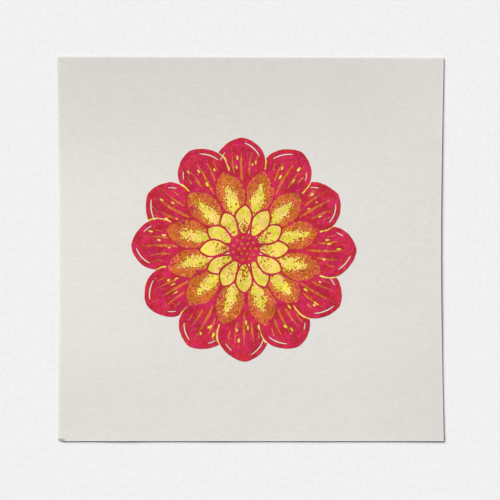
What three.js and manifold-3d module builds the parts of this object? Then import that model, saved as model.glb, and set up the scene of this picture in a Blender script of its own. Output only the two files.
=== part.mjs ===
// A square art print: a sheet of heavy cotton paper that carries a block print of a flower head
// in three inks. The yellow lies on the paper, the orange on the yellow and the crimson on the
// orange, as in a reduction print, and a colour shows where the inks above it are cut away.
// Millimetres, +Z up. The sheet lies on its back with its picture upwards and the picture's top
// towards +Y. The origin is under the middle of the sheet, on the plane that it rests on.
import * as THREE from "three";
import { mergeVertices } from "three/addons/utils/BufferGeometryUtils.js";
import Module from "manifold-3d";

const wasm = await Module();
wasm.setup();

// Paper sheet, cut 8 inches square by hand
const SHEET_X = 203.2;
const SHEET_Y = 202.3;
const SHEET_THICK = 0.5;
const LEFT_BOW = 0.55; // how far the left edge curves in halfway up
const RIGHT_BOW = 1.37;
const TOP_FALL = 0.6; // how far the top edge runs down towards the right
const LEFT_TAPER = 0.35; // how far the left edge runs in towards the bottom

// The sheet lies flat, but its bottom and right margins curl up, the right one most halfway up,
// where its edge curves in.
const FLAT_X = 66; // from the middle to where the right margin begins
const FLAT_Y = 63;
const FLAT_CELLS = 6;
const MARGIN_CELLS = 4;
const BOTTOM_CURL = 0.29;
const RIGHT_CURL = 0.61;
const CORNER_SHARE = 0.4; // how much of the right margin's curl its two corners keep

// Inks
const INK_FILM = 0.04;
const TRAP = 0.15; // how much further each ink reaches than the one above it
const PRINT_X = -3.2; // the print's middle, a little left of the sheet's
const PRINT_Y = 0;

// Flower head: three rings of petals round a disc. Radii run from the middle of the flower,
// and half is half of a petal's width where it is widest.
const PETALS = 12;
const OUTER = { base: 22, tip: 58, half: 13.2, widest: 0.64, full: 0.62, turn: 0, seed: 1 };
const MIDDLE = { base: 12, tip: 42, half: 8.3, widest: 0.6, full: 0.7, turn: 0.5, seed: 2 };
const INNER = { base: 5, tip: 23.5, half: 4.9, widest: 0.62, full: 0.66, turn: 0, seed: 3 };
const DISC_RADIUS = 8.2;

// How far hand cutting lets a petal wander from its place
const TIP_WANDER = 1.5;
const TURN_WANDER = 0.03; // radians
const BEND_WANDER = 1.2;

// Lines and marks cut out of the inks
const PETAL_LINE = 0.8; // yellow line where one outer petal lies over the next
const MIDDLE_OUTLINE = 1.0; // crimson line round a middle petal
const INNER_OUTLINE = 0.8;
const FLAME = { base: 15, tip: 35, half: 3.1, widest: 0.5, full: 0.8 }; // yellow, in a middle petal
const VEINS = [
  { angle: 0, base: 32.5, tip: 52.5, half: 0.75, widest: 0.4, full: 0.8 },
  { angle: -0.1, base: 38, tip: 50, half: 0.6, widest: 0.4, full: 0.8 },
  { angle: 0.1, base: 38, tip: 50, half: 0.6, widest: 0.4, full: 0.8 },
];
const DISC_DOT = 0.75; // radius of the dots on the disc
const DOT_RINGS = [
  { radius: 0, count: 1 },
  { radius: 3, count: 6 },
  { radius: 5.9, count: 11 },
];

// Points along each side of an outline
const PETAL_POINTS = 16;
const FLAME_POINTS = 9;
const VEIN_POINTS = 5;
const DISC_POINTS = 32;
const DOT_POINTS = 8;

const PAPER = { color: "#dfdcd6", roughness: 0.92 };
const YELLOW = { color: "#eed460", roughness: 0.62 };
const ORANGE = { color: "#cc6a36", roughness: 0.6 };
const CRIMSON = { color: "#c4304f", roughness: 0.56 };

// A fixed number from 0 to 1 for each pair of whole numbers, in place of a random draw
function draw(i, k) {
  const x = Math.sin(i * 127.1 + k * 311.7) * 43758.5453;
  return x - Math.floor(x);
}

const wander = (i, k, most) => (2 * draw(i, k) - 1) * most;

// A petal's outline, along an axis that leaves the middle of the flower at an angle.
// bend moves the middle of that axis sideways.
function petalOutline({ base, tip, half, widest, full }, angle, bend, points) {
  const power = Math.log(0.5) / Math.log(widest);
  const outline = [];
  for (let k = 0; k < 2 * points; k++) {
    const s = (1 - Math.cos((Math.PI * k) / points)) / 2;
    const atEnd = k % points === 0;
    const side = atEnd ? 0 : half * Math.sin(Math.PI * s ** power) ** full;
    const across = (k < points ? -side : side) + bend * Math.sin(Math.PI * s);
    const point = new THREE.Vector2(base + (tip - base) * s, atEnd ? 0 : across);
    outline.push(point.rotateAround(new THREE.Vector2(), angle));
  }
  return outline;
}

function circleOutline(radius, points, ringRadius = 0, angle = 0) {
  const middle = new THREE.Vector2(ringRadius, 0).rotateAround(new THREE.Vector2(), angle);
  return Array.from({ length: points }, (_, k) => {
    const a = (2 * Math.PI * k) / points;
    return new THREE.Vector2(Math.cos(a), Math.sin(a)).multiplyScalar(radius).add(middle);
  });
}

// Solids and geometries
function solidOf(geometry) {
  const bare = geometry.clone();
  bare.deleteAttribute("normal");
  bare.deleteAttribute("uv");
  const merged = mergeVertices(bare);
  const vertProperties = merged.attributes.position.array;
  const triVerts = new Uint32Array(merged.index.array);
  return new wasm.Manifold(new wasm.Mesh({ numProp: 3, vertProperties, triVerts }));
}

function geometryOf(solid) {
  const mesh = solid.getMesh();
  return new THREE.BufferGeometry()
    .setAttribute("position", new THREE.BufferAttribute(mesh.vertProperties, 3))
    .setIndex(new THREE.BufferAttribute(mesh.triVerts, 1));
}

// A shape in the print's plane is kept as a tall prism that stands across it
const PRISM = 2;

function prism(outline) {
  const shape = new THREE.Shape(outline);
  const extruded = new THREE.ExtrudeGeometry(shape, { depth: PRISM, bevelEnabled: false });
  return solidOf(extruded.translate(0, 0, -PRISM / 2));
}

const joined = (prisms) => prisms.reduce((all, one) => all.add(one));

// A film of ink is a thin plate that keeps only what lies inside a shape
function film(layer, shape) {
  const side = 4 * OUTER.tip;
  const plate = new THREE.BoxGeometry(side, side, INK_FILM);
  return solidOf(plate.translate(0, 0, (layer + 0.5) * INK_FILM)).intersect(shape);
}

// The twelve petals of a ring, each a little different
function ringOf({ turn, seed, ...petal }) {
  return Array.from({ length: PETALS }, (_, i) => ({
    petal: { ...petal, tip: petal.tip + wander(i, seed, TIP_WANDER) },
    angle: ((i + turn) * 2 * Math.PI) / PETALS + wander(i, seed + 10, TURN_WANDER),
    bend: wander(i, seed + 20, BEND_WANDER),
  }));
}

const outerRing = ringOf(OUTER);
const middleRing = ringOf(MIDDLE);
const innerRing = ringOf(INNER);

// The petals of a ring, each wider by a margin all round
function petals(ring, margin) {
  return ring.map(({ petal, angle, bend }) => {
    const { base, tip, half } = petal;
    const wider = { ...petal, base: base - margin, tip: tip + margin, half: half + margin };
    return prism(petalOutline(wider, angle, bend, PETAL_POINTS));
  });
}

// Those petals, each without what the next one covers of it. The next one is taken wider by
// a margin of its own.
function lapped(ring, margin, nextMargin) {
  const next = petals(ring, nextMargin);
  return joined(petals(ring, margin).map((petal, i) => petal.subtract(next[(i + 1) % PETALS])));
}

const disc = (margin) => prism(circleOutline(DISC_RADIUS + margin, DISC_POINTS));

// The whole flower, wider by a margin. Beside each outer petal that lies over the next one, a
// line of that width is left bare, as long as it is wider than the margin.
function flower(margin, line) {
  const outer = line > margin ? lapped(outerRing, margin, line) : joined(petals(outerRing, margin));
  return joined([outer, ...petals(middleRing, margin), ...petals(innerRing, margin), disc(margin)]);
}

// What shows inside the outlines of the middle petals, and of the inner petals
function middleInsides(outline) {
  const covered = joined([...petals(innerRing, 0), disc(0)]);
  return lapped(middleRing, -outline, 0).subtract(covered);
}

function innerInsides(outline) {
  return lapped(innerRing, -outline, 0).subtract(disc(0));
}

function flames() {
  const tongues = middleRing.map(({ angle, bend }) =>
    prism(petalOutline(FLAME, angle, bend / 2, FLAME_POINTS)),
  );
  return joined(tongues).intersect(middleInsides(MIDDLE_OUTLINE + 2 * TRAP));
}

function veins() {
  const slits = outerRing.flatMap(({ angle, bend }) =>
    VEINS.map((vein) => prism(petalOutline(vein, angle + vein.angle, bend / 2, VEIN_POINTS))),
  );
  return joined(slits).subtract(joined(petals(middleRing, 0)));
}

function discDots() {
  return joined(
    DOT_RINGS.flatMap(({ radius, count }) =>
      Array.from({ length: count }, (_, k) =>
        prism(circleOutline(DISC_DOT, DOT_POINTS, radius, (2 * Math.PI * k) / count)),
      ),
    ),
  );
}

// The three films, in the order of printing
const yellowShape = () => flower(2 * TRAP, 0);

function orangeShape() {
  return flower(TRAP, PETAL_LINE)
    .subtract(flames())
    .subtract(innerInsides(INNER_OUTLINE + TRAP));
}

function crimsonShape() {
  return flower(0, PETAL_LINE + TRAP)
    .subtract(middleInsides(MIDDLE_OUTLINE))
    .subtract(innerInsides(INNER_OUTLINE))
    .subtract(veins())
    .subtract(discDots());
}

// Sheet: u and v run from -1 to 1 across and up it
function gridSteps(flat, half) {
  const inside = flat / half;
  const margin = Array.from({ length: MARGIN_CELLS }, (_, k) => 1 - ((1 - inside) * k) / MARGIN_CELLS);
  const middle = Array.from({ length: FLAT_CELLS + 1 }, (_, k) => inside * ((2 * k) / FLAT_CELLS - 1));
  return [...margin.map((w) => -w), ...middle, ...margin.reverse()];
}

// How far the underside stands off the table
function sheetLift(u, v) {
  const outward = (w, flat, half) => Math.max(0, (w * half - flat) / (half - flat));
  const right = outward(u, FLAT_X, SHEET_X / 2);
  const bottom = outward(-v, FLAT_Y, SHEET_Y / 2);
  const share = CORNER_SHARE + (1 - CORNER_SHARE) * (1 - v ** 2) ** 2;
  return Math.hypot(BOTTOM_CURL * bottom ** 2, RIGHT_CURL * share * right ** 2);
}

function sheetPoint(u, v, height) {
  const taper = (LEFT_TAPER * (1 - u) * (1 - v)) / 4;
  const fall = (TOP_FALL * (1 + u) * (1 + v)) / 4;
  const bow = (u < 0 ? LEFT_BOW : RIGHT_BOW) * (1 - v ** 2) ** 1.3;
  const x = u * (SHEET_X / 2 - bow) + taper;
  const y = (v * SHEET_Y) / 2 - fall;
  return [x, y, height + sheetLift(u, v)];
}

// The underside and the top are a grid each, joined by walls along the four edges
function sheetGeometry() {
  const us = gridSteps(FLAT_X, SHEET_X / 2);
  const vs = gridSteps(FLAT_Y, SHEET_Y / 2);
  const right = us.length - 1;
  const top = vs.length - 1;
  const under = (i, j) => j * us.length + i;
  const over = (i, j) => (vs.length + j) * us.length + i;
  const triangles = [];
  const quad = (a, b, c, d) => triangles.push(a, b, c, a, c, d);
  for (let j = 1; j <= top; j++) {
    for (let i = 1; i <= right; i++) {
      quad(over(i - 1, j - 1), over(i, j - 1), over(i, j), over(i - 1, j));
      quad(under(i - 1, j - 1), under(i - 1, j), under(i, j), under(i, j - 1));
    }
    quad(under(0, j), under(0, j - 1), over(0, j - 1), over(0, j));
    quad(under(right, j - 1), under(right, j), over(right, j), over(right, j - 1));
  }
  for (let i = 1; i <= right; i++) {
    quad(under(i - 1, 0), under(i, 0), over(i, 0), over(i - 1, 0));
    quad(under(i, top), under(i - 1, top), over(i - 1, top), over(i, top));
  }
  const grid = (height) => vs.flatMap((v) => us.flatMap((u) => sheetPoint(u, v, height)));
  const positions = new Float32Array([...grid(0), ...grid(SHEET_THICK)]);
  return new THREE.BufferGeometry()
    .setAttribute("position", new THREE.BufferAttribute(positions, 3))
    .setIndex(triangles);
}

function named(name, geometry, look) {
  const mesh = new THREE.Mesh(geometry, new THREE.MeshStandardMaterial({ ...look, metalness: 0 }));
  mesh.name = name;
  return mesh;
}

const print = new THREE.Group();
print.position.set(PRINT_X, PRINT_Y, SHEET_THICK);
print.add(
  named("yellow_ink", geometryOf(film(0, yellowShape())), YELLOW),
  named("orange_ink", geometryOf(film(1, orangeShape())), ORANGE),
  named("crimson_ink", geometryOf(film(2, crimsonShape())), CRIMSON),
);

const artPrint = new THREE.Group();
artPrint.add(named("paper_sheet", sheetGeometry(), PAPER), print);

export default artPrint;
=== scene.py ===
"""A square art print: a flower head in three block printing inks on heavy cotton paper.

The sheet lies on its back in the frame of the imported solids, in metres. The print is planned in
millimetres on a grid of points, as fields that are above nought where an ink lies. Each ink's
film is then cut along the line where its field passes through nought.
"""
import math

import bpy
import numpy as np
from bpy.props import FloatProperty, FloatVectorProperty, IntProperty, PointerProperty
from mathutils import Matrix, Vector
from mathutils.geometry import delaunay_2d_cdt


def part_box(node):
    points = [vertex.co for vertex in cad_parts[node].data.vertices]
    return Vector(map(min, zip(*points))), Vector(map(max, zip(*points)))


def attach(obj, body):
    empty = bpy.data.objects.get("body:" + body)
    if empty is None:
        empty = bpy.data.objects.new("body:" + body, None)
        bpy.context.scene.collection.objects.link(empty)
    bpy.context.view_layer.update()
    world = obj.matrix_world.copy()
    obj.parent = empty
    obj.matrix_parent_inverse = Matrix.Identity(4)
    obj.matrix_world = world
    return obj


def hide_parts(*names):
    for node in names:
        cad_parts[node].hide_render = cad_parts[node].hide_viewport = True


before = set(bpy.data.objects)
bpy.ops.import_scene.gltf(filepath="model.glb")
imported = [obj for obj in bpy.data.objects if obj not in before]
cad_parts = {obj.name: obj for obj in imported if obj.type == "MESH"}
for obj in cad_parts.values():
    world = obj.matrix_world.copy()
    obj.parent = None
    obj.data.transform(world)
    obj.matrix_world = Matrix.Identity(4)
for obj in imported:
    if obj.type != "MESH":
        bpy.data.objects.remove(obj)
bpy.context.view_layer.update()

bl_info = {
    "name": "Art Print",
    "version": (1, 0, 0),
    "blender": (4, 5, 0),
    "location": "3D View > Sidebar > Art Print",
    "description": "A square sheet of cotton paper with a flower head printed in three inks",
    "category": "Add Mesh",
}

MM = 0.001
SHEET_LOW, SHEET_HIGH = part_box("paper_sheet")

# The sheet lies flat as far as these places to the right of its middle and below it. The right
# margin curls up most halfway up, and its two corners keep a share of that. The worn corner's own
# curl is steep.
FLAT_X, FLAT_Y = 66 * MM, 63 * MM
CORNER_SHARE = 0.4
CORNER_POWER = 13

# The sheet's mesh: the size of its cells, and the places of its lines near an edge as multiples
# of the edge's radius
CELL = 1.35 * MM
EDGE_LINES = [0, 0.25, 0.6, 1, 2, 4, 7, 11, 16, 22, 30]

# How the paper's top bends at each cut edge: so far down, and over such a width from the edge.
# The left and top edges are rolled over, and the knife left a slight burr along the other two.
EDGE_BENDS = {
    "left": (0.2 * MM, 2.0 * MM),
    "top": (0.17 * MM, 1.1 * MM),
    "right": (-0.06 * MM, 0.6 * MM),
    "bottom": (-0.1 * MM, 0.6 * MM),
}

# How far down and over what width the bottom edge rolls over near the worn corner, and how far
# along the edge from there
CORNER_BEND = 0.16 * MM, 2.2 * MM, 7 * MM

# Unevenness of the sheet, with lump sizes in millimetres
COCKLE_SIZE, COCKLE_SEED = 30, 3965
NICK_DEPTH, NICK_SIZE, NICK_SEEDS = 0.015 * MM, 3.2, (81, 82)

# Where the painted shade and painted light in the paper's colour change, measured from the middle
# of the sheet to the right and up: from the place where a painted shade or the painted light on the
# left begins, to the one where it is full
TOP_PAINTED_SHADE = 20 * MM, 105 * MM
RIGHT_PAINTED_SHADE = 50 * MM, 100 * MM
FOOT_PAINTED_SHADE = -40 * MM, -85 * MM
PAINTED_LIGHT_ACROSS = -20 * MM, -100 * MM
PAINTED_LIGHT_FROM_TOP, PAINTED_LIGHT_FROM_FOOT = (70 * MM, 20 * MM), (-85 * MM, -30 * MM)

# The painted shadow on the worn corner: how far its middle is to the right of the corner and above
# it, the radii where it ends and where it is full, and the factor on a squared height that keeps it
# low
CORNER_SHADOW_RIGHT, CORNER_SHADOW_UP = 2.2 * MM, 0.4 * MM
CORNER_SHADOW_END, CORNER_SHADOW_FULL = 3.2 * MM, 1 * MM
CORNER_SHADOW_FLATNESS = 5

# Petal rings, in millimetres from the middle of the flower. half is half of a petal's width.
OUTER = {"base": 22, "half": 13.2, "widest": 0.64, "full": 0.62, "turn": 0, "seed": 1}
MIDDLE = {"base": 12, "half": 8.3, "widest": 0.6, "full": 0.7, "turn": 0.5, "seed": 2}
INNER = {"base": 5, "half": 4.9, "widest": 0.62, "full": 0.66, "turn": 0, "seed": 3}
TIP_WANDER = 1.5
TURN_WANDER = 0.03
BEND_WANDER = 1.2

# Cut marks, in millimetres
FLAME = {"base": 15, "tip": 35, "half": 3.1, "widest": 0.5, "full": 0.8}
VEINS = [
    {"turn": 0, "base": 32.5, "tip": 52.5, "half": 0.75},
    {"turn": -0.1, "base": 38, "tip": 50, "half": 0.6},
    {"turn": 0.1, "base": 38, "tip": 50, "half": 0.6},
    {"turn": -0.17, "base": 43.5, "tip": 49.5, "half": 0.4},
    {"turn": 0.17, "base": 43.5, "tip": 49.5, "half": 0.4},
]
VEIN_SHAPE = {"widest": 0.4, "full": 0.8}

# Dots that trail off from a vein: how many, how far the first is from the vein and from the next,
# how much that grows and their size shrinks at each, how clear they stay of the petal's tip, and
# how far they stray
TRAIL = {
    "dots": 5, "gap": 0.7, "pitch": 0.95, "growth": 0.1, "shrink": 0.13, "clear": 2.4, "stray": 0.3,
}

# Dots on the disc: their radius, then the radius of each ring of them and how many it holds
DISC_DOT = 0.75
DOT_RINGS = [(0, 1), (3, 6), (5.9, 11)]

# Small leaf-shaped cuts between the veins of a petal: how many there are and how far they turn
# from its axis, then the least of each size and how much a draw adds to it
LEAF_CUTS, LEAF_TURN = 4, 0.16
LEAF_BASE, LEAF_LENGTH, LEAF_HALF = (37, 12.5), (1.6, 1.8), (0.35, 0.35)

# Pale slivers inside a petal's tip: how far inside they run, the points of that outline, the one
# where they begin and the most that a draw adds to it. Then the length in points and half width
# of a long one and a short one, half of their width at the ends, and the chance that the long one
# lies on a petal's first side.
ARC_INSET = {"tip": 2.5, "half": 2.3}
ARC_POINTS, ARC_START, ARC_SHIFT = 220, 140, 16
ARCS = [(54, 0.27), (22, 0.21)]
ARC_END = 0.1
LONG_FIRST = 0.7

# Stipple: how far apart its dots are, the distance over which it thins out, and its seed. It is
# orange in a flame, yellow beside it, orange in the feet of the inner petals, out to a radius, and
# crimson in the tips of the middle ones, from a share of their radius.
FLAME_DOTS = {"spacing": 0.98, "fade": 2.3, "seed": 61}
BESIDE_DOTS = {"spacing": 1.0, "fade": 1.9, "seed": 62}
FEET_DOTS = {"spacing": 1.0, "fade": 7, "seed": 63}
TIP_DOTS = {"spacing": 1.05, "fade": 3.2, "seed": 64}
FEET_END, TIPS_BEGIN = 17.5, 0.62

# Unevenness of hand-cut lines, with lump sizes in millimetres. Each ink has two seeds in a row.
LONG_LUMPS, SHORT_LUMPS, LINE_LUMPS = 4, 1.1, 2.5
CRIMSON_SEED, ORANGE_SEED, LINE_SEED = 71, 73, 75

TRAP = 0.05  # how much further an ink reaches than the one above it
INNER_OUTLINE = 0.8  # width of an inner petal's outline, as a share of a middle one's
PLAN_STEP = 0.2  # between the points of the plan's grid
PLAN_MARGIN = 4  # from the tips of the outer petals to the edge of the grid


class SheetSettings(bpy.types.PropertyGroup):
    """The sheet of paper"""

    thickness: FloatProperty(
        name="Thickness", description="Thickness of the paper",
        default=0.5 * MM, unit="LENGTH", precision=5,
    )
    left_bow: FloatProperty(
        name="Left bow", description="How far the left edge curves in halfway up",
        default=0.55 * MM, unit="LENGTH", precision=5,
    )
    right_bow: FloatProperty(
        name="Right bow", description="How far the right edge curves in halfway up",
        default=1.37 * MM, unit="LENGTH", precision=5,
    )
    top_fall: FloatProperty(
        name="Top fall", description="How far the top edge runs down towards the right",
        default=0.6 * MM, unit="LENGTH", precision=5,
    )
    left_taper: FloatProperty(
        name="Left taper", description="How far the left edge runs in towards the bottom",
        default=0.35 * MM, unit="LENGTH", precision=5,
    )
    corner: FloatProperty(
        name="Corner radius", description="Rounding of the corners",
        default=0.6 * MM, unit="LENGTH", precision=5,
    )
    worn_across: FloatProperty(
        name="Worn corner across",
        description="Wear on the bottom left corner, along the bottom edge",
        default=5 * MM, unit="LENGTH", precision=5,
    )
    worn_up: FloatProperty(
        name="Worn corner up", description="Wear on the bottom left corner, along the left edge",
        default=0.9 * MM, unit="LENGTH", precision=5,
    )
    edge: FloatProperty(
        name="Edge radius", description="Rounding along the cut edges",
        default=0.07 * MM, unit="LENGTH", precision=5,
    )
    bottom_curl: FloatProperty(
        name="Bottom curl", description="How far the bottom edge stands off the table",
        default=0.29 * MM, unit="LENGTH", precision=5,
    )
    right_curl: FloatProperty(
        name="Right curl", description="How far the right edge stands off the table halfway up",
        default=0.61 * MM, unit="LENGTH", precision=5,
    )
    corner_curl: FloatProperty(
        name="Corner curl", description="How much further the worn corner stands off the table",
        default=0.6 * MM, unit="LENGTH", precision=5,
    )
    cockle: FloatProperty(
        name="Cockle", description="Height of the slow waves along the curled edges",
        default=0.105 * MM, unit="LENGTH", precision=5,
    )
    colour: FloatVectorProperty(
        name="Paper", description="Colour of the paper",
        default=(0.77, 0.742, 0.704), size=3, subtype="COLOR",
    )


class PrintSettings(bpy.types.PropertyGroup):
    """The print"""

    across: FloatProperty(
        name="Place across",
        description="Middle of the flower, from the middle of the sheet to the right",
        default=-3.2 * MM, unit="LENGTH", precision=5,
    )
    petals: IntProperty(
        name="Petals", description="Petals in each ring", default=12, min=5, max=24
    )
    outer_tip: FloatProperty(
        name="Outer petals", description="Radius of the outer ring of petals",
        default=58 * MM, unit="LENGTH", precision=5,
    )
    middle_tip: FloatProperty(
        name="Middle petals", description="Radius of the middle ring of petals",
        default=42 * MM, unit="LENGTH", precision=5,
    )
    inner_tip: FloatProperty(
        name="Inner petals", description="Radius of the inner ring of petals",
        default=23.5 * MM, unit="LENGTH", precision=5,
    )
    disc: FloatProperty(
        name="Disc", description="Radius of the disc in the middle",
        default=8.2 * MM, unit="LENGTH", precision=5,
    )
    outline: FloatProperty(
        name="Outline", description="Width of the crimson line round a middle petal",
        default=1.0 * MM, unit="LENGTH", precision=5,
    )
    petal_line: FloatProperty(
        name="Petal line", description="Width of the yellow line beside an outer petal",
        default=0.8 * MM, unit="LENGTH", precision=5,
    )
    dot: FloatProperty(
        name="Dot", description="Radius of a stippled dot",
        default=0.36 * MM, unit="LENGTH", precision=5,
    )
    unevenness: FloatProperty(
        name="Unevenness", description="How far a hand-cut line strays to each side",
        default=0.11 * MM, unit="LENGTH", precision=5,
    )
    rim: FloatProperty(
        name="Rim",
        description="Width of the darker rim that ink squeezed out along an edge leaves",
        default=0.32 * MM, unit="LENGTH", precision=5,
    )
    yellow: FloatVectorProperty(
        name="Yellow", description="Colour of the first ink",
        default=(0.882, 0.68, 0.083), size=3, subtype="COLOR",
    )
    orange: FloatVectorProperty(
        name="Orange", description="Colour of the second ink",
        default=(0.626, 0.128, 0.029), size=3, subtype="COLOR",
    )
    crimson: FloatVectorProperty(
        name="Crimson", description="Colour of the third ink",
        default=(0.588, 0.0168, 0.069), size=3, subtype="COLOR",
    )


class StageSettings(bpy.types.PropertyGroup):
    """Floor, lights and camera"""

    field: FloatProperty(
        name="Field", description="Width of the surface that the picture shows",
        default=262.7 * MM, unit="LENGTH", precision=4,
    )
    distance: FloatProperty(
        name="Camera height", description="Height of the camera over the sheet",
        default=1.5, unit="LENGTH",
    )
    key: FloatProperty(
        name="Key light", description="Strength of the light from the top left", default=4.24
    )
    key_height: FloatProperty(
        name="Key height", description="Angle of the key light above the surface",
        default=math.radians(37), unit="ROTATION",
    )
    key_size: FloatProperty(
        name="Key size", description="Angle that the key light fills, which softens its shadows",
        default=math.radians(38), unit="ROTATION",
    )
    side: FloatProperty(
        name="Side light", description="Strength of the light from the top right", default=0.42
    )
    fill: FloatProperty(
        name="Fill light", description="Strength of the even light from all round", default=0.09
    )
    floor: FloatVectorProperty(
        name="Floor", description="Colour of the surface",
        default=(0.9, 0.9, 0.905), size=3, subtype="COLOR",
    )


# Uneven lines and surfaces


def lumps(x, y, size, seed, waves=11):
    """A smooth uneven field, mostly from -1 to 1, with lumps about that size."""
    rng = np.random.default_rng(seed)
    total = np.zeros(np.broadcast(x, y).shape)
    for turn, start, rate in rng.uniform((0, 0, 0.6), (math.tau, math.tau, 1.6), (waves, 3)):
        along = x * math.cos(turn) + y * math.sin(turn)
        total += np.sin(along * rate * math.pi / size + start)
    return total / math.sqrt(2 * waves)


def draw(i, k):
    """A fixed number from 0 to 1 for each pair of whole numbers."""
    x = math.sin(i * 127.1 + k * 311.7) * 43758.5453
    return x - math.floor(x)


def wander(i, k, most):
    return (2 * draw(i, k) - 1) * most


# The print's plan


def turned(points, angle):
    c, s = math.cos(angle), math.sin(angle)
    return points @ np.array([[c, s], [-s, c]])


def petal_outline(base, tip, half, widest, full, angle, bend, points=40):
    """Points round a petal whose axis leaves the middle of the flower at an angle."""
    round_it = np.arange(2 * points) / points
    s = (1 - np.cos(np.pi * round_it)) / 2
    side = half * np.sin(np.pi * s ** (math.log(0.5) / math.log(widest))).clip(0) ** full
    across = np.where(round_it < 1, -side, side) + bend * np.sin(np.pi * s)
    return turned(np.stack([base + (tip - base) * s, across], 1), angle)


def ring_of(shape, tip, petals):
    """The petals of a ring, each a little different, as arguments of petal_outline."""
    shape = dict(shape)
    turn, seed = shape.pop("turn"), shape.pop("seed")
    return [
        dict(
            shape,
            tip=tip + wander(i, seed, TIP_WANDER),
            angle=(i + turn) * math.tau / petals + wander(i, seed + 10, TURN_WANDER),
            bend=wander(i, seed + 20, BEND_WANDER),
        )
        for i in range(petals)
    ]


class Plane:
    """The print's plane as a square grid of points, in millimetres from the flower's middle."""

    REACH = 2.5  # fields are true distances as far as this outside their lines

    def __init__(self, half, step):
        self.step = step
        self.axis = np.arange(-half, half + step, step)
        self.x, self.y = np.meshgrid(self.axis, self.axis, indexing="ij")

    def empty(self):
        return np.full(self.x.shape, -self.REACH)

    def window(self, low, high):
        """The slice of the grid that holds a box and the reach round it."""
        rows = np.searchsorted(self.axis, (low[0] - self.REACH, high[0] + self.REACH))
        columns = np.searchsorted(self.axis, (low[1] - self.REACH, high[1] + self.REACH))
        return slice(*rows), slice(*columns)

    def shape(self, outline):
        """A field that counts the millimetres to an outline, above nought inside it."""
        part = self.window(outline.min(0), outline.max(0))
        x, y = self.x[part], self.y[part]
        nearest = np.full(x.shape, np.inf)
        inside = np.zeros(x.shape, bool)
        for (ax, ay), (bx, by) in zip(outline, np.roll(outline, -1, 0)):
            dx, dy = bx - ax, by - ay
            t = (((x - ax) * dx + (y - ay) * dy) / max(dx * dx + dy * dy, 1e-12)).clip(0, 1)
            nearest = np.minimum(nearest, (x - ax - t * dx) ** 2 + (y - ay - t * dy) ** 2)
            if dy:
                inside ^= ((ay > y) != (by > y)) & (x < ax + (y - ay) * dx / dy)
        field = self.empty()
        field[part] = np.where(inside, 1, -1) * np.sqrt(nearest)
        return field.clip(-self.REACH, None)

    def discs(self, centres, radii):
        """A field that is above nought inside any of many small discs."""
        field = self.empty()
        for (cx, cy), radius in zip(centres, radii):
            i = slice(*np.searchsorted(self.axis, (cx - radius - 1, cx + radius + 1)))
            j = slice(*np.searchsorted(self.axis, (cy - radius - 1, cy + radius + 1)))
            far = np.hypot(self.x[i, j] - cx, self.y[i, j] - cy)
            field[i, j] = np.maximum(field[i, j], radius - far)
        return field

    def at(self, field, points):
        """A field's values at the grid points nearest to some points."""
        k = np.rint((points - self.axis[0]) / self.step).astype(int).clip(0, len(self.axis) - 1)
        return field[k[:, 0], k[:, 1]]

    def sprinkle(self, chance, dots, radius):
        """A field of dots: a shaken lattice, thinned to the chance that each place gives."""
        spacing = dots["spacing"]
        rng = np.random.default_rng(dots["seed"])
        reach = self.axis[-1]
        across = np.arange(-reach, reach, spacing)
        gx, gy = np.meshgrid(across, across, indexing="ij")
        gy = gy + (np.arange(len(across)) % 2)[:, None] * spacing / 2
        centres = np.stack([gx.ravel(), gy.ravel()], 1)
        centres = centres + rng.uniform(-0.32, 0.32, centres.shape) * spacing
        keep = rng.random(len(centres)) < self.at(chance, centres)
        return self.discs(centres[keep], radius * rng.uniform(0.7, 1.25, keep.sum()))


def either(*fields):
    return np.maximum.reduce(fields)


def without(field, *cuts):
    return np.minimum.reduce([field, *(-cut for cut in cuts)])


def lapped(petals, margin, next_margin):
    """Petals wider by a margin, each without what the next one covers."""
    covers = petals[1:] + petals[:1]
    return either(
        *(without(petal + margin, cover + next_margin) for petal, cover in zip(petals, covers))
    )


def vein_slits(plane, outer):
    slits = []
    for petal in outer:
        for vein in VEINS:
            slit = dict(vein, **VEIN_SHAPE, bend=petal["bend"] / 2)
            slit["angle"] = petal["angle"] + slit.pop("turn")
            slits.append(petal_outline(**slit, points=14))
    return either(*(plane.shape(slit) for slit in slits))


def vein_trails(plane, outer, dot):
    """Dots that carry on from the end of each vein, smaller and smaller."""
    centres, radii = [], []
    for i, petal in enumerate(outer):
        for k, vein in enumerate(VEINS):
            for step in range(TRAIL["dots"]):
                pitch = TRAIL["pitch"] + TRAIL["growth"] * step
                radius = vein["tip"] + TRAIL["gap"] + step * pitch
                if radius > petal["tip"] - TRAIL["clear"]:
                    break
                stray = wander(i * 7 + k, step + 40, TRAIL["stray"])
                middle = turned(np.array([[radius, stray]]), petal["angle"] + vein["turn"])
                centres.append(middle[0])
                smaller = dot * (1 - TRAIL["shrink"] * step)
                radii.append(smaller * (0.8 + 0.3 * draw(i + k, step)))
    return plane.discs(centres, radii)


def leaf_cuts(plane, outer):
    """Small leaf-shaped cuts that clear the space between the veins."""
    (base, base_more), (length, length_more), (half, half_more) = LEAF_BASE, LEAF_LENGTH, LEAF_HALF
    cuts = []
    for i, petal in enumerate(outer):
        for k in range(LEAF_CUTS):
            start = base + base_more * draw(i, 80 + k)
            cut = dict(VEIN_SHAPE, base=start, half=half + half_more * draw(k, 70 + i), bend=0)
            cut["tip"] = start + length + length_more * draw(i, 90 + k)
            cut["angle"] = petal["angle"] + wander(k, 60 + i, LEAF_TURN)
            cuts.append(petal_outline(**cut, points=10))
    return either(*(plane.shape(cut) for cut in cuts))


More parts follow.
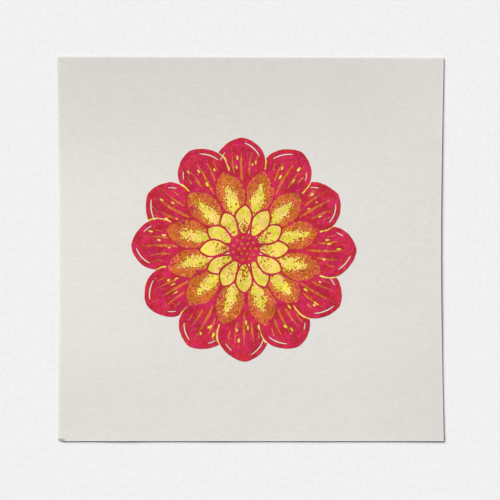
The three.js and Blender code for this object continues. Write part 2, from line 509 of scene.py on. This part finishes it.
def pale_arcs(plane, outer):
    """Slivers of bare paper inside both sides of each outer petal's tip, a long and a short one."""
    centres, radii = [], []
    for i, petal in enumerate(outer):
        inset = dict(petal, **{size: petal[size] - less for size, less in ARC_INSET.items()})
        outline = petal_outline(**inset, points=ARC_POINTS)
        first = outline if draw(i, 53) < LONG_FIRST else outline[::-1]
        for side, (length, thick) in zip((first, first[::-1]), ARCS):
            begin = ARC_START + int(ARC_SHIFT * draw(i, length))
            sliver = side[begin:begin + int(length * (0.85 + 0.3 * draw(i, 52)))]
            taper = np.sin(np.linspace(0, np.pi, len(sliver))) ** 0.5
            centres.extend(sliver)
            radii.extend(ARC_END + (thick - ARC_END) * taper)
    return plane.discs(centres, radii)


def disc_dots(plane):
    centres = [
        (radius * math.cos(k * math.tau / count), radius * math.sin(k * math.tau / count))
        for radius, count in DOT_RINGS
        for k in range(count)
    ]
    return plane.discs(centres, [DISC_DOT] * len(centres))


def plan_inks(settings):
    """The plane, and the field of each ink in the order of printing."""
    tips = settings.outer_tip / MM, settings.middle_tip / MM, settings.inner_tip / MM
    outline = settings.outline / MM
    dot = settings.dot / MM
    plane = Plane(tips[0] + PLAN_MARGIN, PLAN_STEP)
    line_lumps = lumps(plane.x, plane.y, LINE_LUMPS, LINE_SEED)
    line = settings.petal_line / MM * (1 + 0.4 * line_lumps)
    rings = [ring_of(ring, tip, settings.petals) for ring, tip in zip((OUTER, MIDDLE, INNER), tips)]
    outer, middle, inner = (
        [plane.shape(petal_outline(**petal)) for petal in ring] for ring in rings
    )
    radius = np.hypot(plane.x, plane.y)
    disc = settings.disc / MM - radius
    heart = either(*inner, disc)

    # Insides of the middle and inner petals, within their crimson outlines
    middle_inside = without(lapped(middle, -outline, 0), heart)
    inner_inside = without(lapped(inner, -INNER_OUTLINE * outline, 0), disc)
    tongues = [
        petal_outline(**FLAME, angle=petal["angle"], bend=petal["bend"] / 2) for petal in rings[1]
    ]
    flames = either(*(plane.shape(tongue) for tongue in tongues))
    flame = np.minimum(flames, middle_inside - 2 * TRAP)

    # Stipple where orange turns into yellow, orange dots at the feet of the inner petals, and
    # crimson dots in the tips of the middle ones
    fade = (1 - flame / FLAME_DOTS["fade"]).clip(0, 1)
    in_flame = plane.sprinkle(np.where(flame > 0.1, fade, 0), FLAME_DOTS, dot)
    fade = (1 + flame / BESIDE_DOTS["fade"]).clip(0, 1)
    beside = (flame < -0.15) & (middle_inside > 0.5)
    near_flame = plane.sprinkle(np.where(beside, fade, 0), BESIDE_DOTS, dot)
    fade = ((FEET_END - radius) / FEET_DOTS["fade"]).clip(0, 1)
    in_feet = plane.sprinkle(np.where(inner_inside > 0.2, fade, 0), FEET_DOTS, dot)
    fade = (1 - middle_inside / TIP_DOTS["fade"]).clip(0, 0.9)
    at_tip = (middle_inside > 0.1) & (flame < -0.9) & (radius > TIPS_BEGIN * tips[1])
    in_tips = plane.sprinkle(np.where(at_tip, fade, 0), TIP_DOTS, dot)

    # Each ink in turn
    flower = either(*middle, heart)
    veins = either(vein_slits(plane, rings[0]), vein_trails(plane, rings[0], dot))
    veins = without(veins, either(*middle))
    cuts = without(leaf_cuts(plane, rings[0]), either(*middle))
    orange = either(lapped(outer, TRAP, line), flower + TRAP)
    orange = without(orange, either(flame, near_flame), inner_inside - 3 * TRAP, cuts)
    orange = either(orange, in_flame, in_feet)
    crimson = either(lapped(outer, 0, line + TRAP), flower)
    crimson = without(crimson, middle_inside, inner_inside, veins, cuts + TRAP, disc_dots(plane))
    crimson = either(crimson, in_tips)

    # Hand cutting, and the traps between the inks
    stray = settings.unevenness / MM
    fine = 0.45 * stray

    def hand_cut(field, seed):
        field = field + stray * lumps(plane.x, plane.y, LONG_LUMPS, seed)
        return field + fine * lumps(plane.x, plane.y, SHORT_LUMPS, seed + 1)

    crimson = hand_cut(crimson, CRIMSON_SEED)
    orange = either(hand_cut(orange, ORANGE_SEED), crimson + TRAP)
    yellow = either(*outer, flower, orange + TRAP)
    yellow = yellow + stray * lumps(plane.x, plane.y, LONG_LUMPS, CRIMSON_SEED)
    yellow = either(yellow, orange + TRAP)
    arcs = pale_arcs(plane, rings[0])
    fields = {
        "yellow": without(yellow, arcs),
        "orange": without(orange, arcs + TRAP),
        "crimson": without(crimson, arcs + 2 * TRAP),
    }
    return plane, fields


# From fields to films

# Grid edges that a line crosses in a cell, in pairs from where it enters to where it leaves,
# by which of the cell's four corners lie inside. The inside is on the line's left.
CROSSINGS = {
    1: ("SW",), 2: ("ES",), 3: ("EW",), 4: ("NE",), 5: ("SW", "NE"), 6: ("NS",), 7: ("NW",),
    8: ("WN",), 9: ("SN",), 10: ("ES", "WN"), 11: ("EN",), 12: ("WE",), 13: ("SE",), 14: ("WS",),
}


def crossing_lines(plane, field, level):
    """Closed lines of points where a field passes through a level."""
    n = len(plane.axis)
    inside = field > level
    corners = inside[:-1, :-1] * 1 + inside[1:, :-1] * 2 + inside[1:, 1:] * 4 + inside[:-1, 1:] * 8
    follow = {}
    for case, pairs in CROSSINGS.items():
        i, j = np.nonzero(corners == case)
        level_edge, upright_edge = i * n + j, n * n + i * n + j
        edges = {"S": level_edge, "N": level_edge + 1, "W": upright_edge, "E": upright_edge + n}
        for enters, leaves in pairs:
            follow.update(zip(edges[enters].tolist(), edges[leaves].tolist()))
    lines = []
    while follow:
        first, edge = follow.popitem()
        line = [first]
        while edge != first:
            line.append(edge)
            edge = follow.pop(edge)
        k = np.array(line)
        upright = k >= n * n
        i, j = np.divmod(k - n * n * upright, n)
        i2, j2 = i + ~upright, j + upright
        here, there = field[i, j], field[i2, j2]
        t = (level - here) / (there - here)
        lines.append(plane.axis[0] + plane.step * np.stack([i + t * ~upright, j + t * upright], 1))
    return lines


def evened(line, spacing):
    """A closed line with its points evenly spaced and its grid steps smoothed out."""
    for _ in range(2):
        line = (np.roll(line, 1, 0) + 2 * line + np.roll(line, -1, 0)) / 4
    closed = np.concatenate([line, line[:1]])
    run = np.concatenate([[0], np.cumsum(np.hypot(*np.diff(closed, axis=0).T))])
    count = max(9, round(run[-1] / spacing))
    places = np.arange(count) * run[-1] / count
    return np.stack([np.interp(places, run, closed[:, 0]), np.interp(places, run, closed[:, 1])], 1)


def clean_lines(plane, field, level, spacing, least_area=0.09):
    """Those lines, evened, without the ones round crumbs of ink or pinholes."""
    kept = []
    for line in crossing_lines(plane, field, level):
        after = np.roll(line, -1, 0)
        area = (line[:, 0] * after[:, 1] - line[:, 1] * after[:, 0]).sum() / 2
        if abs(area) > least_area:
            kept.append(evened(line, spacing))
    return kept


def chained(lines):
    """The pairs of point numbers that join up each line's points."""
    start, pairs = 0, []
    for line in lines:
        numbers = np.arange(start, start + len(line))
        pairs.append(np.stack([numbers, np.roll(numbers, -1)], 1))
        start += len(line)
    return np.concatenate(pairs)


def filled(points, pairs):
    """Triangles over what lies on the left of closed lines, given as pairs of point numbers."""
    found = delaunay_2d_cdt([Vector(point) for point in points], pairs.tolist(), [], 0, 1e-7)
    if len(found[0]) != len(points):
        raise RuntimeError("lines of a film meet, so its faces can't be made")
    faces = found[2]
    owner = {}
    for number, (a, b, c) in enumerate(faces):
        owner[a, b] = owner[b, c] = owner[c, a] = number
    steps = set(map(tuple, pairs.tolist()))
    kept = {owner[step] for step in steps}
    spread = list(kept)
    while spread:
        a, b, c = faces[spread.pop()]
        for step in {(a, b), (b, c), (c, a)} - steps:
            beside = owner[step[::-1]]
            if beside not in kept:
                kept.add(beside)
                spread.append(beside)
    return np.array([faces[number] for number in sorted(kept)])


def film_faces(plane, field, low, high, rim, spacing=0.24, bevel=0.045):
    """A closed film of ink: its points and faces, and which points stand on its rim."""
    edge = clean_lines(plane, field, 0, spacing)
    core = clean_lines(plane, field, rim, 1.3 * spacing)
    inward = []
    for line in edge:
        along = np.roll(line, -1, 0) - np.roll(line, 1, 0)
        along /= np.linalg.norm(along, axis=1, keepdims=True)
        inward.append(np.stack([-along[:, 1], along[:, 0]], 1))
    outline, inside = np.concatenate(edge), np.concatenate(core)
    shoulder = outline + bevel * np.concatenate(inward)
    n, m = len(outline), len(inside)
    thick = high - low
    proud, brink = high + 0.1 * thick, low + 0.55 * thick
    layers = [(shoulder, proud), (inside, high), (outline, brink), (outline, low)]
    points = np.concatenate([np.column_stack([ring, np.full(len(ring), z)]) for ring, z in layers])
    around, within = chained(edge), chained(core)
    band = filled(np.concatenate([outline, inside]), np.concatenate([around, within[:, ::-1] + n]))
    middle = filled(inside, within) + n
    under = filled(outline, around)[:, ::-1] + n + m + n
    a, b = around.T
    brow = np.stack([a + n + m, b + n + m, b, a], 1)
    wall = np.stack([a + 2 * n + m, b + 2 * n + m, b + n + m, a + n + m], 1)
    on_rim = np.ones(len(points))
    on_rim[n:n + m] = 0
    faces = [band, middle, under, brow, wall]
    return points, [face for group in faces for face in group.tolist()], on_rim


# Shader maths


class Value:
    """A socket that Python's arithmetic works on. An expression adds its Math nodes."""

    def __init__(self, shader, socket):
        self.shader, self.socket = shader, socket

    def math(self, operation, *values):
        return self.shader.node("Math", {"operation": operation}, dict(enumerate(values)))

    def __add__(self, other):
        return self.math("ADD", self, other)

    def __sub__(self, other):
        return self.math("SUBTRACT", self, other)

    def __rsub__(self, other):
        return self.math("SUBTRACT", other, self)

    def __mul__(self, other):
        return self.math("MULTIPLY", self, other)

    def __pow__(self, other):
        return self.math("POWER", self, other)

    __radd__ = __add__
    __rmul__ = __mul__


class Shader:
    """A material with a Principled surface, and the methods that add its nodes."""

    def __init__(self, name, uniform):
        self.material = bpy.data.materials.new(name)
        self.material.use_nodes = True
        self.tree = self.material.node_tree
        self.surface = self.tree.nodes["Principled BSDF"]
        for socket, value in uniform.items():
            self.surface.inputs[socket].default_value = value
        self.place = self.node("TexCoord", out="Object")
        split = self.node("SeparateXYZ", None, {"Vector": self.place}).socket.node
        self.x, self.y = Value(self, split.outputs["X"]), Value(self, split.outputs["Y"])

    def node(self, kind, settings=None, sockets=None, out=0):
        """The output of a new node, with its settings made first and then its sockets."""
        node = self.tree.nodes.new("ShaderNode" + kind)
        for name, value in (settings or {}).items():
            setattr(node, name, value)
        for name, value in (sockets or {}).items():
            self.put(node.inputs[name], value)
        return Value(self, node.outputs[out])

    def put(self, socket, value):
        if isinstance(value, Value):
            self.tree.links.new(value.socket, socket)
        else:
            socket.default_value = value

    def noise(self, size, detail=2.0, rough=0.5, warp=0.0, length=1.0):
        """Soft noise from 0 to 1 with lumps of a size in metres, so many times as long along X."""
        factors = (1 / length, 1, 1)
        place = self.node("VectorMath", {"operation": "MULTIPLY"}, {0: self.place, 1: factors})
        sockets = {"Vector": place, "Scale": 1 / size, "Detail": detail}
        return self.node("TexNoise", None, {**sockets, "Roughness": rough, "Distortion": warp})

    def stretch(self, value, low, high, to_low=0.0, to_high=1.0):
        """A value moved smoothly from one range to another, and held there."""
        ends = {"From Min": low, "From Max": high, "To Min": to_low, "To Max": to_high}
        return self.node("MapRange", {"interpolation_type": "SMOOTHSTEP"}, {"Value": value, **ends})

    def mix(self, share, first, second, blend="MIX"):
        """Two colours mixed by a share of the second. A product is held at 1."""
        factor, a, b = 0, 6, 7
        held = blend == "MULTIPLY"
        settings = {"data_type": "RGBA", "blend_type": blend, "clamp_result": held}
        return self.node("Mix", settings, {factor: share, a: first, b: second}, out=2)

    def grey(self, value):
        return self.node("CombineColor", None, {"Red": value, "Green": value, "Blue": value})

    def finish(self, colour, roughness, height, depth):
        self.put(self.surface.inputs["Base Color"], colour)
        self.put(self.surface.inputs["Roughness"], roughness)
        bump = self.node("Bump", None, {"Strength": 1.0, "Distance": depth, "Height": height})
        self.put(self.surface.inputs["Normal"], bump)
        return self.material


def rgba(colour, times=1.0):
    return (*(channel * times for channel in colour), 1.0)


def between(first, second, share):
    return [(1 - share) * a + share * b for a, b in zip(first, second)]


def tooth(shader):
    """The relief of cotton paper: felt marks and fine fibres."""
    felt = shader.noise(1.5 * MM, 3.0, 0.6)
    fibres = shader.noise(0.45 * MM, 2.0, 0.6, 1.2)
    return felt * 0.75 + fibres * 0.25


def paper_material(settings):
    """Cotton paper: painted light halfway down its left side, painted shade along the other three
    sides and on its cut edges, and a painted shadow at the worn corner."""
    shader = Shader("cotton_paper", {"Specular IOR Level": 0.25})
    x, y = shader.x, shader.y
    # Painted shade darkens the top, right and foot of the sheet, and painted light brightens its
    # left side. The clouds and grain below are the paper's own tone.
    top = shader.stretch(y, *TOP_PAINTED_SHADE)
    right = shader.stretch(x, *RIGHT_PAINTED_SHADE)
    painted_foot_shade = shader.stretch(y, *FOOT_PAINTED_SHADE)
    painted_light = shader.stretch(x, *PAINTED_LIGHT_ACROSS) * shader.stretch(y, *PAINTED_LIGHT_FROM_TOP)
    painted_light = painted_light * shader.stretch(y, *PAINTED_LIGHT_FROM_FOOT)
    tone = 0.92 - top * 0.1 - right * 0.045 + top * right * 0.075 + painted_light * 0.04 - painted_foot_shade * 0.03
    clouds = shader.noise(22 * MM, 2.0, 0.5)
    grain = shader.noise(1.5 * MM, 2.0, 0.55, 0.3, 1.9)
    tone = shader.grey(tone + clouds * 0.03 + grain * 0.14)
    colour = shader.mix(1.0, rgba(settings.colour), tone, "MULTIPLY")
    # Painted shade: the steep cut edges are darkened, so they catch and throw back less light
    normal = shader.node("NewGeometry", out="True Normal")
    level = shader.node("SeparateXYZ", None, {"Vector": normal}, out="Z")
    colour = shader.mix(shader.stretch(level**2, 0.6, 0.1), colour, rgba(settings.colour, 0.45))
    # A painted shadow: the paper is darkened at the worn corner
    right_of, above = x - SHEET_LOW.x - CORNER_SHADOW_RIGHT, y - SHEET_LOW.y - CORNER_SHADOW_UP
    away_squared = right_of**2 + above**2 * CORNER_SHADOW_FLATNESS
    painted_corner_shadow = shader.stretch(away_squared * (0.6 + grain), CORNER_SHADOW_END**2, CORNER_SHADOW_FULL**2)
    colour = shader.mix(painted_corner_shadow * 0.6, colour, rgba(settings.colour, 0.35))
    fleck = shader.stretch(shader.noise(1.3 * MM, 1.0, 0.4, 2.5), 0.74, 0.8)
    colour = shader.mix(fleck * 0.12, colour, rgba(settings.colour, 0.72))
    roughness = 0.86 + shader.noise(4 * MM) * 0.1
    return shader.finish(colour, roughness, tooth(shader), 0.05 * MM)


def ink_material(name, ink, below):
    """Dried relief ink: thick and thin patches that drift in hue, missed specks, a darker rim."""
    shader = Shader(name, {"Specular IOR Level": 0.12})
    rim = shader.node("Attribute", {"attribute_name": "rim"}, out="Fac")
    clouds = shader.noise(9 * MM, 1.0, 0.5)
    mottle = shader.noise(2.2 * MM, 4.0, 0.62)
    grain = shader.noise(0.7 * MM, 2.0, 0.6)
    thin = between(ink, below, 0.04)
    share = shader.stretch(clouds * 0.4 + mottle * 0.6, 0.34, 0.66)
    colour = shader.mix(share, rgba(ink, 0.72), rgba(thin, 1.22))
    colour = shader.mix(shader.stretch(grain, 0.4, 0.75) * 0.35, colour, rgba(thin, 1.3))
    colour = shader.mix(rim * 0.5, colour, rgba(ink, 0.55))
    drift = shader.stretch(shader.noise(4.5 * MM, 2.0, 0.5), 0.3, 0.7)
    hue = shader.mix(drift, (1, 1.15, 0.6, 1), (1, 0.87, 1.45, 1))
    colour = shader.mix(1.0, colour, hue, "MULTIPLY")
    specks = shader.stretch(shader.noise(1.1 * MM, 3.0, 0.7), 0.6, 0.66)
    missed = specks * shader.stretch(mottle, 0.42, 0.6)
    colour = shader.mix(missed * 0.75, colour, rgba(below))
    roughness = 0.6 + mottle * 0.18
    return shader.finish(colour, roughness, tooth(shader) * 0.6 + grain * 0.4, 0.04 * MM)


# Pieces


def add_piece(name, points, faces, material, node):
    """A mesh object in place of a node of the frame."""
    mesh = bpy.data.meshes.new(name)
    mesh.from_pydata(points, [], faces)
    mesh.materials.append(material)
    piece = bpy.data.objects.new(name, mesh)
    bpy.context.scene.collection.objects.link(piece)
    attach(piece, "root")
    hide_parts(node)
    return piece


def sheet_steps(half, edge):
    """Places from one side of the sheet to the other, close together at its two edges."""
    near = np.array(EDGE_LINES) * edge
    margin = 1.3 * near[-1]
    across = np.linspace(-half + margin, half - margin, round(2 * half / CELL))
    return np.concatenate([near - half, across, half - near[::-1]])


def sheet_lift(x, y, settings):
    """How far the sheet stands off the table: flat, but for its right and bottom margins."""
    half_x, half_y = SHEET_HIGH.x, SHEET_HIGH.y
    right = ((x - FLAT_X) / (half_x - FLAT_X)).clip(0)
    left = ((-x - FLAT_X) / (half_x - FLAT_X)).clip(0)
    bottom = ((-y - FLAT_Y) / (half_y - FLAT_Y)).clip(0)
    halfway_up = CORNER_SHARE + (1 - CORNER_SHARE) * (1 - (y / half_y) ** 2) ** 2
    curl = np.hypot(settings.bottom_curl * bottom**2, settings.right_curl * halfway_up * right**2)
    curl += settings.corner_curl * (left * bottom) ** CORNER_POWER
    waves = lumps(x / MM, y / MM, COCKLE_SIZE, COCKLE_SEED).clip(-0.3, None)
    cockle = settings.cockle * np.maximum(right, bottom) ** 2 * waves
    return (curl + cockle).clip(0, SHEET_HIGH.z - settings.thickness)


def sheet_grid(x, y, settings):
    """Points of the sheet seen from above, from their places on a plain rectangle."""
    half_x, half_y = SHEET_HIGH.x, SHEET_HIGH.y
    worn = (x < 0) & (y < 0)
    across = np.where(worn, settings.worn_across, settings.corner)
    up = np.where(worn, settings.worn_up, settings.corner)
    over_x = ((abs(x) - half_x + across) / across).clip(0)
    over_y = ((abs(y) - half_y + up) / up).clip(0)
    round_x = x - np.sign(x) * across * over_x * (1 - np.sqrt(1 - over_y**2 / 2))
    round_y = y - np.sign(y) * up * over_y * (1 - np.sqrt(1 - over_x**2 / 2))
    u, v = round_x / half_x, round_y / half_y
    taper = settings.left_taper * (1 - u) * (1 - v) / 4
    fall = settings.top_fall * (1 + u) * (1 + v) / 4
    nick_x = NICK_DEPTH * abs(u) ** 9 * lumps(0 * y, y / MM, NICK_SIZE, NICK_SEEDS[0])
    nick_y = NICK_DEPTH * abs(v) ** 9 * lumps(x / MM, 0 * x, NICK_SIZE, NICK_SEEDS[1])
    bow = np.where(u < 0, settings.left_bow, settings.right_bow)
    px = round_x - u * bow * (1 - v**2) ** 1.3 + taper - np.sign(x) * abs(nick_x)
    return px, round_y - fall - np.sign(y) * abs(nick_y)


def edge_bend(x, y):
    """How far down the sheet's top bends towards its edges."""
    half_x, half_y = SHEET_HIGH.x, SHEET_HIGH.y
    insets = {"left": x + half_x, "right": half_x - x, "bottom": y + half_y, "top": half_y - y}
    down, width, along = CORNER_BEND
    bend = down * (1 - insets["bottom"] / width).clip(0) ** 2
    bend *= (1 - insets["left"] / along).clip(0)
    for side, (down, width) in EDGE_BENDS.items():
        bend += down * (1 - insets[side] / width).clip(0) ** 2
    return bend


def sheet_faces(settings):
    """The closed sheet: a grid over its top, one over its back, and walls that join them."""
    half_x, half_y = SHEET_HIGH.x, SHEET_HIGH.y
    steps = sheet_steps(half_x, settings.edge), sheet_steps(half_y, settings.edge)
    x, y = np.meshgrid(*steps, indexing="ij")
    px, py = sheet_grid(x, y, settings)
    lift = sheet_lift(x, y, settings)
    inset = np.minimum(half_x - abs(x), half_y - abs(y)).clip(0, settings.edge)
    drop = settings.edge - np.sqrt(settings.edge**2 - (settings.edge - inset) ** 2)
    top = (lift + settings.thickness - edge_bend(x, y)).clip(None, SHEET_HIGH.z)
    layers = [top - drop, lift + drop]
    points = np.concatenate([np.stack([px, py, z], 2).reshape(-1, 3) for z in layers])
    n, m = x.shape
    number = np.arange(2 * n * m).reshape(2, n, m)
    over, under = number
    quads = [
        (over[:-1, :-1], over[1:, :-1], over[1:, 1:], over[:-1, 1:]),
        (under[:-1, :-1], under[:-1, 1:], under[1:, 1:], under[1:, :-1]),
        (under[:-1, 0], under[1:, 0], over[1:, 0], over[:-1, 0]),
        (under[1:, -1], under[:-1, -1], over[:-1, -1], over[1:, -1]),
        (under[0, 1:], under[0, :-1], over[0, :-1], over[0, 1:]),
        (under[-1, :-1], under[-1, 1:], over[-1, 1:], over[-1, :-1]),
    ]
    faces = np.concatenate([np.stack([corner.ravel() for corner in quad], 1) for quad in quads])
    return points, faces.tolist()


class ARTPRINT_OT_sheet(bpy.types.Operator):
    """Add the sheet of cotton paper"""

    bl_idname = "artprint.sheet"
    bl_label = "Paper Sheet"

    def execute(self, context):
        settings = context.scene.artprint_sheet
        points, faces = sheet_faces(settings)
        paper = paper_material(settings)
        piece = add_piece("cotton_sheet", points, faces, paper, "paper_sheet")
        piece.data.shade_smooth()
        return {"FINISHED"}


class ARTPRINT_OT_inks(bpy.types.Operator):
    """Add the films of yellow, orange and crimson ink, in the order of printing"""

    bl_idname = "artprint.inks"
    bl_label = "Ink Films"

    def execute(self, context):
        settings = context.scene.artprint_print
        below = context.scene.artprint_sheet.colour
        plane, fields = plan_inks(settings)
        for ink, field in fields.items():
            node = ink + "_ink"
            low, high = (corner.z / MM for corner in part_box(node))
            points, faces, on_rim = film_faces(plane, field, low, high, settings.rim / MM)
            points = points * MM + (settings.across, 0, 0)
            colour = getattr(settings, ink)
            material = ink_material(node, colour, below)
            piece = add_piece(ink + "_film", points, faces, material, node)
            rim = piece.data.attributes.new("rim", "FLOAT", "POINT")
            rim.data.foreach_set("value", on_rim.astype(np.float32))
            below = colour
        return {"FINISHED"}


# Stage


def floor_material(colour):
    shader = Shader("pale_surface", {"Specular IOR Level": 0.2})
    grain = shader.noise(2.1 * MM, 2.0, 0.55)
    tint = shader.mix(grain, rgba(colour, 0.93), rgba(colour, 1.06))
    return shader.finish(tint, 0.9 + grain * 0.05, grain, 0.05 * MM)


class ARTPRINT_OT_stage(bpy.types.Operator):
    """Add the floor, the lights and the camera"""

    bl_idname = "artprint.stage"
    bl_label = "Stage"

    def execute(self, context):
        settings = context.scene.artprint_stage
        scene = context.scene
        self.add_floor(scene, settings)
        self.add_lights(scene, settings)
        self.add_camera(scene, settings)
        scene.view_settings.view_transform = "Standard"
        return {"FINISHED"}

    def add_floor(self, scene, settings):
        half = 2.5
        height = -0.02 * MM
        mesh = bpy.data.meshes.new("floor")
        corners = [(-half, -half), (half, -half), (half, half), (-half, half)]
        mesh.from_pydata([(*corner, height) for corner in corners], [], [(0, 1, 2, 3)])
        mesh.materials.append(floor_material(settings.floor))
        floor = bpy.data.objects.new("floor", mesh)
        scene.collection.objects.link(floor)

    def add_lights(self, scene, settings):
        for name, strength, across in (("key", settings.key, -1), ("side", settings.side, 1)):
            light = bpy.data.lights.new(name, "SUN")
            light.energy = strength
            light.angle = settings.key_size
            lamp = bpy.data.objects.new(name, light)
            level = math.cos(settings.key_height) * math.sqrt(0.5)
            towards = Vector((across * level, level, math.sin(settings.key_height)))
            lamp.rotation_euler = towards.to_track_quat("Z", "Y").to_euler()
            scene.collection.objects.link(lamp)
        scene.world = bpy.data.worlds.new("even_light")
        scene.world.use_nodes = True
        background = scene.world.node_tree.nodes["Background"]
        background.inputs["Color"].default_value = (1.0, 1.0, 1.0, 1.0)
        background.inputs["Strength"].default_value = settings.fill

    def add_camera(self, scene, settings):
        # The middle of the sheet shows at this pixel of the picture's 500 by 500
        image, sheet_x, sheet_y = 500, 250.4, 248.63
        pixel = settings.field / image
        lens = bpy.data.cameras.new("camera")
        lens.sensor_fit = "HORIZONTAL"
        lens.angle = 2 * math.atan(settings.field / 2 / settings.distance)
        camera = bpy.data.objects.new("camera", lens)
        middle = (image / 2 - sheet_x) * pixel, (sheet_y - image / 2) * pixel
        camera.location = (*middle, settings.distance + SHEET_HIGH.z)
        scene.collection.objects.link(camera)
        scene.camera = camera


OPERATORS = (ARTPRINT_OT_sheet, ARTPRINT_OT_inks, ARTPRINT_OT_stage)


class ARTPRINT_PT_panel(bpy.types.Panel):
    """The print's pieces and their sizes"""

    bl_label = "Art Print"
    bl_idname = "ARTPRINT_PT_panel"
    bl_space_type = "VIEW_3D"
    bl_region_type = "UI"
    bl_category = "Art Print"

    def draw(self, context):
        for operator in OPERATORS:
            self.layout.operator(operator.bl_idname)
        for name in SETTINGS:
            box = self.layout.box()
            group = getattr(context.scene, name)
            for prop in group.bl_rna.properties:
                if prop.identifier not in ("rna_type", "name"):
                    box.prop(group, prop.identifier)


SETTINGS = {
    "artprint_sheet": SheetSettings,
    "artprint_print": PrintSettings,
    "artprint_stage": StageSettings,
}


def register():
    for group in SETTINGS.values():
        bpy.utils.register_class(group)
    for name, group in SETTINGS.items():
        setattr(bpy.types.Scene, name, PointerProperty(type=group))
    for operator in OPERATORS:
        bpy.utils.register_class(operator)
    bpy.utils.register_class(ARTPRINT_PT_panel)


def unregister():
    bpy.utils.unregister_class(ARTPRINT_PT_panel)
    for operator in reversed(OPERATORS):
        bpy.utils.unregister_class(operator)
    for name in SETTINGS:
        delattr(bpy.types.Scene, name)
    for group in reversed(SETTINGS.values()):
        bpy.utils.unregister_class(group)


def main():
    register()
    bpy.ops.artprint.sheet()
    bpy.ops.artprint.inks()
    bpy.ops.artprint.stage()


if __name__ == "__main__":
    main()
